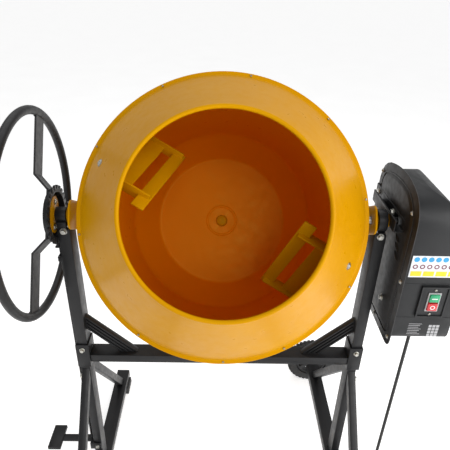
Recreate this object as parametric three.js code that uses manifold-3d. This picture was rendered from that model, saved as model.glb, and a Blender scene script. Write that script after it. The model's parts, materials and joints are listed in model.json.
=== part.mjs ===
// A tilting-drum concrete mixer on a two-wheeled stand, as an assembly of separate solids in millimetres.
// X runs to the right, Y to the back and Z up. Places are measured from the middle of the tilt axis; the
// last lines move the whole machine so that its origin is under its middle, on the ground.
// What tilts is drawn with the drum axis level and its mouth towards -Y, and is then turned up by REST_TILT.

import * as THREE from "three";
import { mergeVertices } from "three/addons/utils/BufferGeometryUtils.js";
import Module from "manifold-3d";

const GAP = 0.3; // left between touching pieces
const REST_TILT = THREE.MathUtils.degToRad(30); // how far the mouth points up at rest

const GROUND_Z = -836;

const POST_X = 325.5; // middle of each post
const POST_WIDE = 25;
const POST_DEEP = 40;
const POST_WALL = 2;
const POST_JOINT_Z = -372; // where the upper posts meet the lower legs
const LEG_WIDE = 21;
const LEG_DEEP = 36;
const CROSSBAR_TOP = -368.5;
const CROSSBAR_HIGH = 21.5;
const SLEEVE_TOP = -335;
const SLEEVE_BOTTOM = -404;
const SLEEVE_WALL = 2.7;

const BEAM_WIDE = 40; // the ground beams along Y, one under each post
const BEAM_HIGH = 25;
const FOOT_HIGH = 24;
const BEAM_HALF = 338;

const WHEEL_RADIUS = 81.5;
const RIM_RADIUS = 52;
const WHEEL_WIDE = 33;
const WHEEL_Y = 347; // inner face of each wheel
const AXLE_RADIUS = 9;
const AXLE_Z = GROUND_Z + WHEEL_RADIUS;

const SHEET = 2.5;
const MOUTH_RADIUS = 174;
const MOUTH_A = 200; // distances "A" run along the drum axis from the tilt axis towards the mouth
const BEAD_RADIUS = 4.5;
const SHOULDER_RADIUS = 278;
const SHOULDER_A = 50;
const FLANGE_RADIUS = 289;
const FLANGE_A = 41;
const BOWL_RADIUS = 257;
const KNUCKLE_RADIUS = 218;
const KNUCKLE_A = -200;
const BOTTOM_RADIUS = 165;
const BOTTOM_A = -270;
const DRUM_SIDES = 40;

const TOOTH_MODULE = 4.5;
const PINION_TEETH = 12;
const CROWN_TEETH = 120;
const PINION_PITCH_RADIUS = (TOOTH_MODULE * PINION_TEETH) / 2;
const CROWN_PITCH_RADIUS = (TOOTH_MODULE * CROWN_TEETH) / 2;
const TOOTH_FACE = 24; // length of the teeth across the ring

const YOKE_HIGH = 60;
const YOKE_WEB = 4;
const YOKE_DEEP = 16;
const YOKE_X = 309; // outer face of each arm
const YOKE_BEND_Y = 205;
const YOKE_BACK_X = 215;
const YOKE_BACK_Y = 312;

const HANDWHEEL_X = -382;
const HANDWHEEL_RADIUS = 208;
const HANDWHEEL_TUBE = 9;
const LOCK_X = -339.3; // the notched rim's inner face
const LOCK_THICK = 4;
const LOCK_RADIUS = 61;
const LOCK_CUP_X = -352.3; // the outer face of the lock disc's dished middle
const LOCK_CUP_RADIUS = 50;
const LOCK_WALL = 3;

const BOX_PLATE_X = 360; // the motor box's back plate faces the drum
const BOX_COVER_X = 362.3;
const BOX_END_X = 490;
const BOX_TOP_Z = 105;
const BOX_ROUND_WIDE = 118; // the cover's upper outer edge is a quarter of an ellipse
const BOX_ROUND_HIGH = 144;
const BOX_WALL = 3;
const BOX_FRONT_Y = -98;
const BOX_BACK_Y = 143;
const BOX_BOTTOM_Z = -262;
const COVER_INSET = 14;
const COVER_FRONT_Y = BOX_FRONT_Y + COVER_INSET;

const MOTOR_Y = 35;
const MOTOR_Z = -165;
const MOTOR_RADIUS = 58;
const PULLEY_X = 374;
const PULLEY_WIDE = 22;
const BIG_PULLEY_RADIUS = 65;
const SMALL_PULLEY_RADIUS = 13;
const SHAFT_RADIUS = 8;

const SWITCH = { x0: 406, x1: 464, z0: -181, z1: -104 };
const BUTTON = { x0: 425, x1: 445, high: 18, green: -139.5, red: -161.5 };
const BUTTON_WINDOW = { x0: 424.5, x1: 445.5, z0: -162, z1: -121 };

const CORD_RADIUS = 4;
const CORD_X = 450;
const CORD_Y = -4;
const GLAND_LONG = 30;
const COIL = { x: 400, y: -112, inner: 37.5, outer: 54.5, high: 24.5 };
const CORD_END_Y = COIL.y + 35.5;
const CORD_BEND = 45;

const wasm = await Module();
wasm.setup();

// ---- solids ----

// The geometry with only its positions, shared vertices merged and its faces turned outwards.
function closed(geometry) {
  const source = geometry.index ? geometry.toNonIndexed() : geometry;
  const bare = new THREE.BufferGeometry();
  bare.setAttribute("position", source.getAttribute("position"));
  const merged = mergeVertices(bare, 1e-3);
  const places = merged.getAttribute("position");
  const corner = [new THREE.Vector3(), new THREE.Vector3(), new THREE.Vector3()];
  const kept = [];
  let volume = 0;
  for (let i = 0; i < merged.index.count; i += 3) {
    const ids = [0, 1, 2].map((k) => merged.index.getX(i + k));
    if (new Set(ids).size === 3) {
      kept.push(ids);
      ids.forEach((id, k) => corner[k].fromBufferAttribute(places, id));
      volume += corner[0].dot(corner[1].clone().cross(corner[2]));
    }
  }
  merged.setIndex(kept.flatMap(([a, b, c]) => (volume < 0 ? [a, c, b] : [a, b, c])));
  return merged;
}

function toSolid(geometry) {
  const made = closed(geometry);
  const vertProperties = made.getAttribute("position").array;
  const triVerts = new Uint32Array(made.index.array);
  return new wasm.Manifold(new wasm.Mesh({ numProp: 3, vertProperties, triVerts }));
}

function fromSolid(solid) {
  const mesh = solid.getMesh();
  const geometry = new THREE.BufferGeometry();
  geometry.setAttribute("position", new THREE.BufferAttribute(mesh.vertProperties, 3));
  geometry.setIndex(new THREE.BufferAttribute(mesh.triVerts, 1));
  return geometry;
}

function join(first, ...others) {
  return fromSolid(others.reduce((sum, other) => sum.add(toSolid(other)), toSolid(first)));
}

function cut(body, ...tools) {
  return fromSolid(tools.reduce((left, tool) => left.subtract(toSolid(tool)), toSolid(body)));
}

function overlap(one, other) {
  return fromSolid(toSolid(one).intersect(toSolid(other)));
}

// ---- outlines and the solids drawn from them ----

function outline(points) {
  return new THREE.Shape(points.map(([x, y]) => new THREE.Vector2(x, y)));
}

function rectangle(x0, y0, x1, y1) {
  return outline([[x0, y0], [x1, y0], [x1, y1], [x0, y1]]);
}

function disc(radius, sides = 24, x = 0, y = 0) {
  const points = [];
  for (let i = 0; i < sides; i += 1) {
    const angle = (2 * Math.PI * i) / sides;
    points.push([x + radius * Math.cos(angle), y + radius * Math.sin(angle)]);
  }
  return outline(points);
}

function withHole(shape, hole) {
  shape.holes.push(new THREE.Path(hole.getPoints()));
  return shape;
}

// A strip of the given width on the left of an open line of points, with mitred corners.
function strip(points, width) {
  const line = points.map(([x, y]) => new THREE.Vector2(x, y));
  const lefts = line.slice(1).map((end, i) => {
    const along = end.clone().sub(line[i]).normalize();
    return new THREE.Vector2(-along.y, along.x);
  });
  const shifted = line.map((point, i) => {
    const before = lefts[Math.max(i - 1, 0)];
    const after = lefts[Math.min(i, lefts.length - 1)];
    const middle = before.clone().add(after).normalize();
    return point.clone().addScaledVector(middle, width / middle.dot(after));
  });
  return new THREE.Shape([...line, ...shifted.reverse()]);
}

function extruded(shape, depth, curveSegments) {
  return new THREE.ExtrudeGeometry(shape, { depth, bevelEnabled: false, curveSegments });
}

// The shape is drawn in (y, z).
function alongX(shape, x0, x1, curveSegments = 6) {
  const turn = new THREE.Matrix4().makeBasis(
    new THREE.Vector3(0, 1, 0),
    new THREE.Vector3(0, 0, 1),
    new THREE.Vector3(1, 0, 0),
  );
  return extruded(shape, x1 - x0, curveSegments).applyMatrix4(turn).translate(x0, 0, 0);
}

// The shape is drawn in (x, z).
function alongY(shape, y0, y1, curveSegments = 6) {
  const turn = new THREE.Matrix4().makeBasis(
    new THREE.Vector3(1, 0, 0),
    new THREE.Vector3(0, 0, 1),
    new THREE.Vector3(0, -1, 0),
  );
  return extruded(shape, y1 - y0, curveSegments).applyMatrix4(turn).translate(0, y1, 0);
}

// The shape is drawn in (x, y).
function alongZ(shape, z0, z1) {
  return extruded(shape, z1 - z0, 6).translate(0, 0, z0);
}

function block(x0, x1, y0, y1, z0, z1) {
  return alongZ(rectangle(x0, y0, x1, y1), z0, z1);
}

function turned(profile, sides) {
  return new THREE.LatheGeometry(profile.map(([r, a]) => new THREE.Vector2(r, a)), sides);
}

const turnedAboutX = (profile, sides) => turned(profile, sides).rotateZ(-Math.PI / 2);
const turnedAboutZ = (profile, sides) => turned(profile, sides).rotateX(Math.PI / 2);
const turnedAboutDrum = (profile, sides) => turned(profile, sides).rotateX(Math.PI);

// ---- stand; side is -1 on the left and 1 on the right ----

const LEFT_BEAM = { z0: GROUND_Z + FOOT_HIGH, z1: GROUND_Z + FOOT_HIGH + BEAM_HIGH };
const RIGHT_BEAM = { z0: AXLE_Z - BEAM_HIGH / 2, z1: AXLE_Z + BEAM_HIGH / 2 };
const beamOf = (side) => (side < 0 ? LEFT_BEAM : RIGHT_BEAM);

function squareTube(x, wide, deep, wall, z0, z1) {
  const outer = rectangle(x - wide / 2, -deep / 2, x + wide / 2, deep / 2);
  const inner = rectangle(x - wide / 2 + wall, -deep / 2 + wall, x + wide / 2 - wall, deep / 2 - wall);
  return alongZ(withHole(outer, inner), z0, z1);
}

function upperPost(side, top) {
  return squareTube(side * POST_X, POST_WIDE, POST_DEEP, POST_WALL, POST_JOINT_Z, top);
}

function lowerLeg(side) {
  const bottom = beamOf(side).z1 + GAP;
  return squareTube(side * POST_X, LEG_WIDE, LEG_DEEP, POST_WALL, bottom, POST_JOINT_Z - GAP);
}

function sleeve(side) {
  const wide = POST_WIDE + 2 * (SLEEVE_WALL + GAP);
  const deep = POST_DEEP + 2 * (SLEEVE_WALL + GAP);
  return squareTube(side * POST_X, wide, deep, SLEEVE_WALL, SLEEVE_BOTTOM, SLEEVE_TOP);
}

function crossbar() {
  const half = POST_X - POST_WIDE / 2 - SLEEVE_WALL - 2 * GAP;
  const bottom = CROSSBAR_TOP - CROSSBAR_HIGH;
  const front = -POST_DEEP / 2;
  const outer = rectangle(front, bottom, -front, CROSSBAR_TOP);
  const inner = rectangle(front + 2, bottom + 2, -front - 2, CROSSBAR_TOP - 2);
  return alongX(withHole(outer, inner), -half, half);
}

// A corner plate pressed into ridges that run parallel to its long edge.
function gusset(side) {
  const postFace = POST_X - POST_WIDE / 2 - GAP;
  const barTop = CROSSBAR_TOP + GAP;
  const outerEdge = [[postFace, -261], [197, barTop]];
  const innerEdge = [[postFace, -302], [243, barTop]];
  const between = (k, t) => outerEdge[k].map((value, i) => value + (innerEdge[k][i] - value) * t);
  const plate = outline([...outerEdge, innerEdge[1], innerEdge[0]]);
  const ridges = [0, 0.26, 0.52, 0.78].map((t) => {
    const edge = outline([between(0, t), between(1, t), between(1, t + 0.13), between(0, t + 0.13)]);
    return alongY(edge, -7, 7);
  });
  const made = join(alongY(plate, -3, 3), ...ridges);
  return side < 0 ? made.scale(-1, 1, 1) : made;
}

function groundBeam(side) {
  const { z0, z1 } = beamOf(side);
  const x0 = side * POST_X - BEAM_WIDE / 2;
  const x1 = x0 + BEAM_WIDE;
  const outer = rectangle(x0, z0, x1, z1);
  return alongY(withHole(outer, rectangle(x0 + 2, z0 + 2, x1 - 2, z1 - 2)), -BEAM_HALF, BEAM_HALF);
}

// A brace from the leg, just under the sleeve, to the ground beam; way is -1 to the front, 1 to the back.
function brace(side, way) {
  const face = LEG_DEEP / 2 + GAP;
  const floor = beamOf(side).z1 + GAP;
  const shape = outline([[way * face, -413], [way * face, -445], [way * 268, floor], [way * 296, floor]]);
  return alongX(shape, side * POST_X - 9, side * POST_X + 9);
}

function foot(way) {
  const top = LEFT_BEAM.z0 - GAP;
  const y = way * 305;
  const cap = outline([
    [y - 29, GROUND_Z],
    [y + 29, GROUND_Z],
    [y + 25, top],
    [y - 25, top],
  ]);
  return alongX(cap, -POST_X - 25, -POST_X + 25);
}

function axle() {
  return alongY(disc(AXLE_RADIUS, 16, POST_X, AXLE_Z), -WHEEL_Y - 45, WHEEL_Y + 45);
}

function tyre(way) {
  const half = WHEEL_WIDE / 2;
  const inside = RIM_RADIUS + GAP;
  const profile = [
    [inside, -half + 2],
    [WHEEL_RADIUS - 9, -half],
    [WHEEL_RADIUS - 1, -half + 6],
    [WHEEL_RADIUS, 0],
    [WHEEL_RADIUS - 1, half - 6],
    [WHEEL_RADIUS - 9, half],
    [inside, half - 2],
    [inside, -half + 2],
  ];
  return turned(profile, 32).translate(POST_X, way * (WHEEL_Y + half), AXLE_Z);
}

function rim(way) {
  const spokes = 5;
  const reach = RIM_RADIUS - 6;
  const wide = 7;
  const middle = disc(RIM_RADIUS, 30);
  for (let i = 0; i < spokes; i += 1) {
    const from = (2 * Math.PI * (i + 0.09)) / spokes;
    const to = (2 * Math.PI * (i + 0.91)) / spokes;
    const points = [0, 1, 2, 3].map((k) => {
      const angle = from + ((to - from) * k) / 3;
      return [reach * Math.cos(angle), reach * Math.sin(angle)];
    });
    const root = (2 * Math.PI * (i + 0.5)) / spokes;
    const inner = 16 + wide;
    points.push([inner * Math.cos(root + 0.35), inner * Math.sin(root + 0.35)]);
    points.push([inner * Math.cos(root - 0.35), inner * Math.sin(root - 0.35)]);
    withHole(middle, outline(points));
  }
  withHole(middle, disc(AXLE_RADIUS + GAP, 16));
  const y = way * (WHEEL_Y + WHEEL_WIDE / 2);
  return alongY(middle, -11, 11).translate(POST_X, y, AXLE_Z);
}

// ---- trunnions ----

// A tube on top of the post with a shank that reaches down into it.
function leftBearing() {
  const barrel = alongX(withHole(disc(16.5, 24), disc(10.3, 24)), -341, -319.5);
  const shank = block(-338 + 2.5, -313 - 2.5, -17.5, 17.5, -62, -24);
  const saddle = block(-338, -319.5, -20, 20, -24, -8);
  const bored = cut(saddle, alongX(disc(13, 24), -340, -310));
  return join(barrel, bored, shank);
}

function rightBearing() {
  const barrel = withHole(disc(24, 24), disc(14.4, 24));
  const shank = block(313 + 2.5, 338 - 2.5, -17.5, 17.5, -62, -20);
  const bored = cut(shank, alongX(disc(20, 24), 312, 340));
  return join(alongX(barrel, 317, 335), bored);
}

// A round dome against the arm, round the trunnion that leaves it.
function armDome(high) {
  const x = YOKE_X + GAP;
  const top = x + high;
  const profile = [[8, x], [24, x], [23, x + high * 0.3], [19, x + high * 0.7], [12, top], [8, top], [8, x]];
  return turnedAboutX(profile, 24);
}

// The left trunnion: its dome, the shaft through the bearing and the long flange that holds the lock disc.
function leftTrunnion() {
  const floor = LOCK_CUP_X + LOCK_WALL + GAP;
  const shaft = alongX(disc(10, 24), floor + 2, -YOKE_X - GAP);
  return join(shaft, armDome(9.5).scale(-1, 1, 1), alongX(stadium(76, 44), floor, floor + 4, 8));
}

// The right trunnion is hollow, because the pinion shaft runs through it.
function rightTrunnion() {
  const tube = alongX(disc(14, 24), YOKE_X + GAP, 342);
  return cut(join(tube, armDome(7)), alongX(disc(SHAFT_RADIUS + 2, 24), 300, 345));
}

// ---- yoke: two arms and a back beam round the drum ----

function channel(path) {
  const half = YOKE_HIGH / 2;
  const flange = strip(path, YOKE_DEEP);
  const web = alongZ(strip(path, YOKE_WEB), -half, half);
  const top = alongZ(flange, half - YOKE_WEB, half);
  const bottom = alongZ(flange, -half, -half + YOKE_WEB);
  return join(web, top, bottom);
}

// The front end of an arm's web, with two rounded corners.
function armEnd() {
  const half = YOKE_HIGH / 2;
  const corner = 20;
  const shape = new THREE.Shape();
  shape.moveTo(-11.9, -half);
  shape.lineTo(-34 + corner, -half);
  shape.quadraticCurveTo(-34, -half, -34, -half + corner);
  shape.lineTo(-34, half - corner);
  shape.quadraticCurveTo(-34, half, -34 + corner, half);
  shape.lineTo(-11.9, half);
  shape.closePath();
  return shape;
}

function yokeArm(side) {
  const slope = (YOKE_BACK_Y - YOKE_BEND_Y) / (YOKE_X - YOKE_BACK_X);
  const past = 12; // the arm is drawn past the back beam's end and cut off square there
  const path = [
    [YOKE_X, -34],
    [YOKE_X, YOKE_BEND_Y],
    [YOKE_BACK_X - past, YOKE_BACK_Y + past * slope],
  ];
  const backBeam = block(0, YOKE_BACK_X, 150, 400, -40, 40);
  const bare = block(YOKE_X - YOKE_DEEP - 1, YOKE_X - YOKE_WEB, -50, 34, -40, 40); // clears all but the web
  const corners = cut(block(290, 320, -50, -12, -40, 40), alongX(armEnd(), 289, 321));
  const shaftHole = alongX(disc(SHAFT_RADIUS + 2, 24), 290, 320);
  const away = side > 0 ? [backBeam, bare, corners, shaftHole] : [backBeam, bare, corners];
  const made = cut(channel(path), ...away);
  return side < 0 ? made.scale(-1, 1, 1) : made;
}

function yokeBack() {
  const half = YOKE_BACK_X - GAP;
  return channel([[half, YOKE_BACK_Y], [-half, YOKE_BACK_Y]]);
}

function drumBearing() {
  const y0 = -BOTTOM_A + 13;
  const ring = withHole(disc(25, 24), disc(13, 24));
  return alongY(ring, y0, YOKE_BACK_Y - YOKE_WEB - GAP);
}

// ---- tilt lock and handwheel ----

function stadium(high, wide) {
  const radius = wide / 2;
  const straight = high / 2 - radius;
  const shape = new THREE.Shape();
  shape.absarc(0, straight, radius, 0, Math.PI, false);
  shape.absarc(0, -straight, radius, Math.PI, 2 * Math.PI, false);
  shape.closePath();
  return shape;
}

// A dished disc: a notched rim close to the post and a round middle that stands further out.
function notchedDisc() {
  const notches = 24;
  const root = LOCK_RADIUS - 8;
  const points = [];
  for (let i = 0; i < notches; i += 1) {
    const step = (2 * Math.PI) / notches;
    for (const [part, radius] of [[0, LOCK_RADIUS], [0.5, LOCK_RADIUS], [0.56, root], [0.94, root]]) {
      const angle = (i + part) * step;
      points.push([radius * Math.cos(angle), radius * Math.sin(angle)]);
    }
  }
  const inside = LOCK_CUP_RADIUS - LOCK_WALL;
  const notched = alongX(withHole(outline(points), disc(inside, 32)), LOCK_X - LOCK_THICK, LOCK_X);
  const wall = alongX(withHole(disc(LOCK_CUP_RADIUS, 32), disc(inside, 32)), LOCK_CUP_X, LOCK_X - 1);
  const floor = alongX(disc(LOCK_CUP_RADIUS, 32), LOCK_CUP_X, LOCK_CUP_X + LOCK_WALL);
  return join(notched, wall, floor);
}

function handwheel() {
  const bar = 4;
  const x = LOCK_CUP_X - GAP;
  const offset = 27; // how far the ring stands out from the hub
  const tip = HANDWHEEL_RADIUS - 5;
  const half = [[x, 0], [x, 50], [x - offset, 80], [x - offset, tip]];
  const path = [...half.slice(1).reverse().map(([px, pz]) => [px, -pz]), ...half];
  const spoke = alongY(strip(path, bar), -20, 20);
  const ring = new THREE.TorusGeometry(HANDWHEEL_RADIUS, HANDWHEEL_TUBE, 8, 48);
  ring.rotateY(Math.PI / 2).translate(HANDWHEEL_X, 0, 0);
  return join(spoke, ring);
}

// The rod runs down the outside of the left post; its tip stands just under the lock disc's rim.
function latchRod() {
  const x = -346.3;
  const top = -LOCK_RADIUS - 2;
  const rod = block(x, x + 4, -6, 6, -686.5, top - 8);
  const tip = block(x, LOCK_X, -3.2, 3.2, top - 9, top);
  const cross = block(x - 4, LOCK_X, -15, 15, top - 9, top - 5);
  return join(rod, tip, cross);
}

// A flat bracket round the latch rod, welded to the outside of the left post or leg.
function latchGuide(z, postFace) {
  const outer = rectangle(-350, -12, postFace - GAP, 12);
  return alongZ(withHole(outer, rectangle(-347.3, -7, -341.3, 7)), z, z + 12);
}

// A foot lever that forks round the left leg, where its pivot pin goes through.
function pedalLever() {
  const arm = block(-425, -338, -9, 9, -700, -692);
  const pad = block(-455, -422, -35, 35, -699, -689);
  const yoke = block(-345, -338, -22, 22, -703, -690);
  const ears = [-20.3, 20.3].map((y) => block(-345, -316, y - 1.7, y + 1.7, -712, -690));
  return join(arm, pad, yoke, ...ears);
}

// ---- drum ----

// The wide front half: a rim flange, a short band, the shoulder, the cone and the rolled edge of the mouth.
function drumFront() {
  const band = FLANGE_A + GAP;
  const lip = MOUTH_RADIUS + BEAD_RADIUS;
  const outside = [
    [FLANGE_RADIUS, band],
    [FLANGE_RADIUS, band + SHEET],
    [SHOULDER_RADIUS + 3, band + SHEET],
    [SHOULDER_RADIUS, SHOULDER_A + 4],
    [SHOULDER_RADIUS - 7, SHOULDER_A + 11],
    [lip + 3, MOUTH_A - 8],
  ];
  const bead = [];
  for (let i = 0; i <= 6; i += 1) {
    const angle = -0.45 * Math.PI + (1.35 * Math.PI * i) / 6;
    bead.push([lip + BEAD_RADIUS * Math.cos(angle), MOUTH_A + BEAD_RADIUS * Math.sin(angle)]);
  }
  const inside = [
    [MOUTH_RADIUS + 1, MOUTH_A - 6],
    [SHOULDER_RADIUS - 9, SHOULDER_A + 8],
    [SHOULDER_RADIUS - SHEET, SHOULDER_A],
    [SHOULDER_RADIUS - SHEET, band],
    [FLANGE_RADIUS, band],
  ];
  return turnedAboutDrum([...outside, ...bead, ...inside], DRUM_SIDES);
}

// The deep rear half, which carries the ring gear behind its rim flange.
function drumBowl() {
  const hole = 6.4; // for the spindle
  const profile = [
    [hole, BOTTOM_A],
    [BOTTOM_RADIUS - 8, BOTTOM_A],
    [BOTTOM_RADIUS + 2, BOTTOM_A + 5],
    [KNUCKLE_RADIUS - 4, KNUCKLE_A - 8],
    [KNUCKLE_RADIUS + 2, KNUCKLE_A + 6],
    [BOWL_RADIUS, 10],
    [BOWL_RADIUS, FLANGE_A - SHEET],
    [FLANGE_RADIUS, FLANGE_A - SHEET],
    [FLANGE_RADIUS, FLANGE_A],
    [BOWL_RADIUS - SHEET, FLANGE_A],
    [BOWL_RADIUS - SHEET, 10],
    [KNUCKLE_RADIUS - SHEET + 2, KNUCKLE_A + 6],
    [KNUCKLE_RADIUS - SHEET - 4, KNUCKLE_A - 6],
    [BOTTOM_RADIUS - 1, BOTTOM_A + 7],
    [BOTTOM_RADIUS - 8, BOTTOM_A + SHEET],
    [hole, BOTTOM_A + SHEET],
    [hole, BOTTOM_A],
  ];
  return turnedAboutDrum(profile, DRUM_SIDES);
}

// The spindle's flange stands behind the bowl, and its round nut inside it.
function drumSpindle() {
  const back = BOTTOM_A - GAP;
  const floor = BOTTOM_A + SHEET + GAP;
  const stem = 6;
  const profile = [
    [0, floor + 9], [12, floor + 7], [15, floor + 2], [15, floor], [stem, floor],
    [stem, back], [46, back], [46, back - 6], [12.5, back - 9], [12.5, -306], [0, -306],
  ];
  return turnedAboutDrum(profile, 24);
}

// A flat ring with straight teeth that point to the back of the drum.
function crownGear() {
  const inner = CROWN_PITCH_RADIUS - TOOTH_FACE / 2;
  const outer = CROWN_PITCH_RADIUS + TOOTH_FACE / 2;
  const rootA = PINION_PITCH_RADIUS + 1.25 * TOOTH_MODULE;
  const tipA = PINION_PITCH_RADIUS - TOOTH_MODULE;
  const backA = FLANGE_A - SHEET - GAP;
  const places = [];
  const faces = [];
  const ring = [];
  const parts = [[-0.285, rootA], [-0.11, tipA], [0.11, tipA], [0.285, rootA]];
  for (let i = 0; i < CROWN_TEETH; i += 1) {
    for (const [part, a] of parts) {
      ring.push({ angle: ((i + part + 0.5) * 2 * Math.PI) / CROWN_TEETH, a });
    }
  }
  const place = (radius, angle, a) => {
    places.push(radius * Math.cos(angle), -a, radius * Math.sin(angle));
    return places.length / 3 - 1;
  };
  const rows = ring.map(({ angle, a }) => [place(inner, angle, a), place(outer, angle, a)]);
  const backs = [];
  for (let i = 0; i < CROWN_TEETH; i += 1) {
    const angle = ((i + 0.5) * 2 * Math.PI) / CROWN_TEETH;
    backs.push([place(inner, angle, backA), place(outer, angle, backA)]);
  }
  const count = rows.length;
  for (let i = 0; i < count; i += 1) {
    const here = rows[i];
    const next = rows[(i + 1) % count];
    faces.push(here[0], here[1], next[1], here[0], next[1], next[0]);
  }
  for (let i = 0; i < CROWN_TEETH; i += 1) {
    const back = backs[i];
    const nextBack = backs[(i + 1) % CROWN_TEETH];
    faces.push(back[0], nextBack[1], back[1], back[0], nextBack[0], nextBack[1]);
    for (let k = 0; k < 4; k += 1) {
      const here = rows[4 * i + k];
      const next = rows[(4 * i + k + 1) % count];
      const to = k < 2 ? back : nextBack;
      faces.push(here[0], next[0], to[0], here[1], to[1], next[1]);
    }
    const middle = rows[4 * i + 2];
    faces.push(middle[0], nextBack[0], back[0], middle[1], back[1], nextBack[1]);
  }
  const geometry = new THREE.BufferGeometry();
  geometry.setAttribute("position", new THREE.Float32BufferAttribute(places, 3));
  geometry.setIndex(faces);
  return geometry;
}

// A mixing blade: a ladder of two flat rails and two cross pieces, skewed along the drum wall.
function blade(turn) {
  const near = { angle: 175.3, a: 98 };
  const far = { angle: 124.8, a: -32 };
  const radius = 163;
  const at = ({ angle, a }) => {
    const radians = THREE.MathUtils.degToRad(angle + turn);
    return new THREE.Vector3(radius * Math.cos(radians), -a, radius * Math.sin(radians));
  };
  const start = at(near);
  const end = at(far);
  const long = start.distanceTo(end);
  const along = end.clone().sub(start).normalize();
  const middleAngle = THREE.MathUtils.degToRad((near.angle + far.angle) / 2 + turn);
  const outward = new THREE.Vector3(Math.cos(middleAngle), 0, Math.sin(middleAngle));
  const across = along.clone().cross(outward);
  const innerRail = block(0, long, -13, 13, -2, 2);
  const outerRail = block(30, long - 6, 34, 74, -2, 2);
  const links = [28, long - 12].map((x) => block(x, x + 4, -9, 74, -13, 13));
  const placed = new THREE.Matrix4().makeBasis(along, outward, across).setPosition(start);
  return join(innerRail, outerRail, ...links).applyMatrix4(placed);
}

function pinion() {
  const points = [];
  const root = PINION_PITCH_RADIUS - 1.2 * TOOTH_MODULE;
  const tip = PINION_PITCH_RADIUS + 0.9 * TOOTH_MODULE;
  for (let i = 0; i < PINION_TEETH; i += 1) {
    for (const [part, radius] of [[-0.285, root], [-0.105, tip], [0.105, tip], [0.285, root]]) {
      const angle = ((i + part) * 2 * Math.PI) / PINION_TEETH;
      points.push([radius * Math.cos(angle + Math.PI), radius * Math.sin(angle + Math.PI)]);
    }
  }
  const half = TOOTH_FACE / 2;
  const middle = CROWN_PITCH_RADIUS + 1.2;
  const bored = withHole(outline(points), disc(SHAFT_RADIUS + GAP, 24));
  return alongX(bored, middle - half, middle + half);
}

function pinionShaft() {
  const start = CROWN_PITCH_RADIUS - TOOTH_FACE / 2 + 2;
  return alongX(disc(SHAFT_RADIUS, 16), start, PULLEY_X + PULLEY_WIDE + 8);
}

// ---- motor box ----

// The box's side view, an upright slab with a rounded top; inset draws a smaller one inside it.
function boxOutline(inset) {
  const front = BOX_FRONT_Y + inset;
  const back = BOX_BACK_Y - inset;
  const bottom = BOX_BOTTOM_Z + inset;
  const corner = 26 - inset * 0.4;
  const shape = new THREE.Shape();
  shape.moveTo(front, bottom + corner);
  shape.quadraticCurveTo(front, bottom, front + corner, bottom);
  shape.lineTo(back - corner, bottom);
  shape.quadraticCurveTo(back, bottom, back, bottom + corner);
  shape.lineTo(back, 20);
  shape.bezierCurveTo(back, 68 - inset, 120, 89 - inset, 72, 98 - inset);
  shape.bezierCurveTo(46, 104 - inset, 8, 108 - inset, -26, 102 - inset);
  shape.bezierCurveTo(front + 14, 93 - inset, front, 64 - inset, front, 24);
  shape.closePath();
  return shape;
}

function boxBackPlate() {
  const plate = withHole(boxOutline(0), disc(18, 20));
  return alongX(plate, BOX_PLATE_X, BOX_PLATE_X + 2);
}

// The cover's front view, whose upper outer edge is rounded.
function coverEnd(inset) {
  const end = BOX_END_X - inset;
  const top = BOX_TOP_Z - COVER_INSET - inset;
  const wide = BOX_ROUND_WIDE - inset;
  const high = BOX_ROUND_HIGH - inset;
  const shape = new THREE.Shape();
  shape.moveTo(BOX_COVER_X - 2, BOX_BOTTOM_Z);
  shape.lineTo(end, BOX_BOTTOM_Z);
  shape.lineTo(end, top - high);
  shape.absellipse(end - wide, top - high, wide, high, 0, Math.PI / 2, false, 0);
  shape.lineTo(BOX_COVER_X - 2, top);
  shape.closePath();
  return shape;
}

function boxCover() {
  const slab = alongX(boxOutline(COVER_INSET), BOX_COVER_X, BOX_END_X);
  const core = alongX(boxOutline(COVER_INSET + BOX_WALL), BOX_COVER_X - 1, BOX_END_X - BOX_WALL);
  const shell = overlap(slab, alongY(coverEnd(0), BOX_FRONT_Y, BOX_BACK_Y));
  const hollow = overlap(core, alongY(coverEnd(BOX_WALL), BOX_FRONT_Y, BOX_BACK_Y));
  const window = block(
    SWITCH.x0 + 4, SWITCH.x1 - 4, COVER_FRONT_Y - 5, COVER_FRONT_Y + 20, SWITCH.z0 + 4, SWITCH.z1 - 4,
  );
  const cordHole = alongZ(disc(CORD_RADIUS + 2, 16, CORD_X, CORD_Y), BOX_BOTTOM_Z, BOX_BOTTOM_Z + 30);
  return cut(shell, hollow, window, cordHole);
}

// An open channel that hangs the box beside the post; its outer wall is shorter than the one on the box.
function hangerBracket() {
  const section = rectangle(338.3, -2, 359.7, 24);
  const hollow = rectangle(341.5, 1, 356.5, 26);
  const channelled = cut(alongY(section, -46, 104), alongY(hollow, -50, 108));
  const strap = block(356.5, 359.7, -46, 141, -2, 24);
  return cut(join(channelled, strap), alongX(disc(18, 20), 330, 365));
}

function switchPlate() {
  const outer = rectangle(SWITCH.x0, SWITCH.z0, SWITCH.x1, SWITCH.z1);
  const window = rectangle(BUTTON_WINDOW.x0, BUTTON_WINDOW.z0, BUTTON_WINDOW.x1, BUTTON_WINDOW.z1);
  const y1 = COVER_FRONT_Y - GAP;
  return alongY(withHole(outer, window), y1 - 3, y1);
}

function button(bottom) {
  const front = COVER_FRONT_Y - 9;
  return block(BUTTON.x0, BUTTON.x1, front, COVER_FRONT_Y + 6, bottom, bottom + BUTTON.high);
}

function switchBody() {
  return block(SWITCH.x0 + 8, SWITCH.x1 - 8, COVER_FRONT_Y + 10, COVER_FRONT_Y + 40, -172, -106);
}

function pulley(radius, x, bore, sides) {
  const end = x + PULLEY_WIDE;
  const rim = radius + 3;
  const profile = [
    [bore, x], [rim, x], [rim, x + 2], [radius, x + 3],
    [radius, end - 3], [rim, end - 2], [rim, end], [bore, end], [bore, x],
  ];
  return turnedAboutX(profile, sides);
}

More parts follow.
